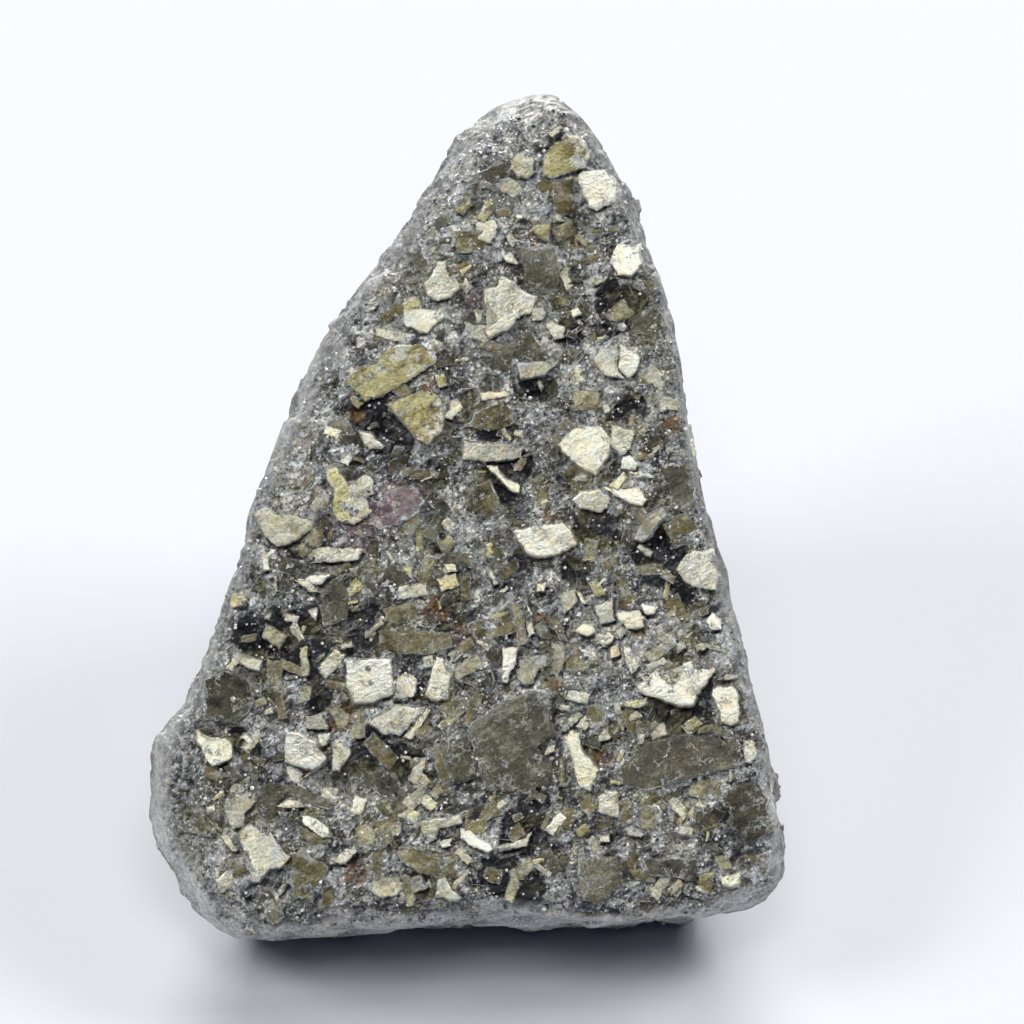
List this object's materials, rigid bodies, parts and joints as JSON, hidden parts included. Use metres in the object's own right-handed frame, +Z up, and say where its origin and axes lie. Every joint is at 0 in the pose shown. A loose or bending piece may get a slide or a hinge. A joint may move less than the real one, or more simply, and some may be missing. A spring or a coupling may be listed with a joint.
{
  "type": "rough pyrite chunk",
  "caption": "Rough natural chunk of brassy pyrite crystals grown together in a dark granular mass, for display or study on a flat surface.",
  "frame": {"origin": "middle of the bounding box at the flat broken base the chunk stands on", "axes": "+Z up, the broad leaning crystal face looks towards -Y and up, +X to its right"},
  "size_m": [0.0318, 0.0336, 0.0352],
  "materials": {
    "pyrite": "rough metallic, pale brass crystals in a dark sparkling mass"
  },
  "bodies": {
    "root": {"pyrite_chunk": "pyrite"}
  },
  "joints": []
}
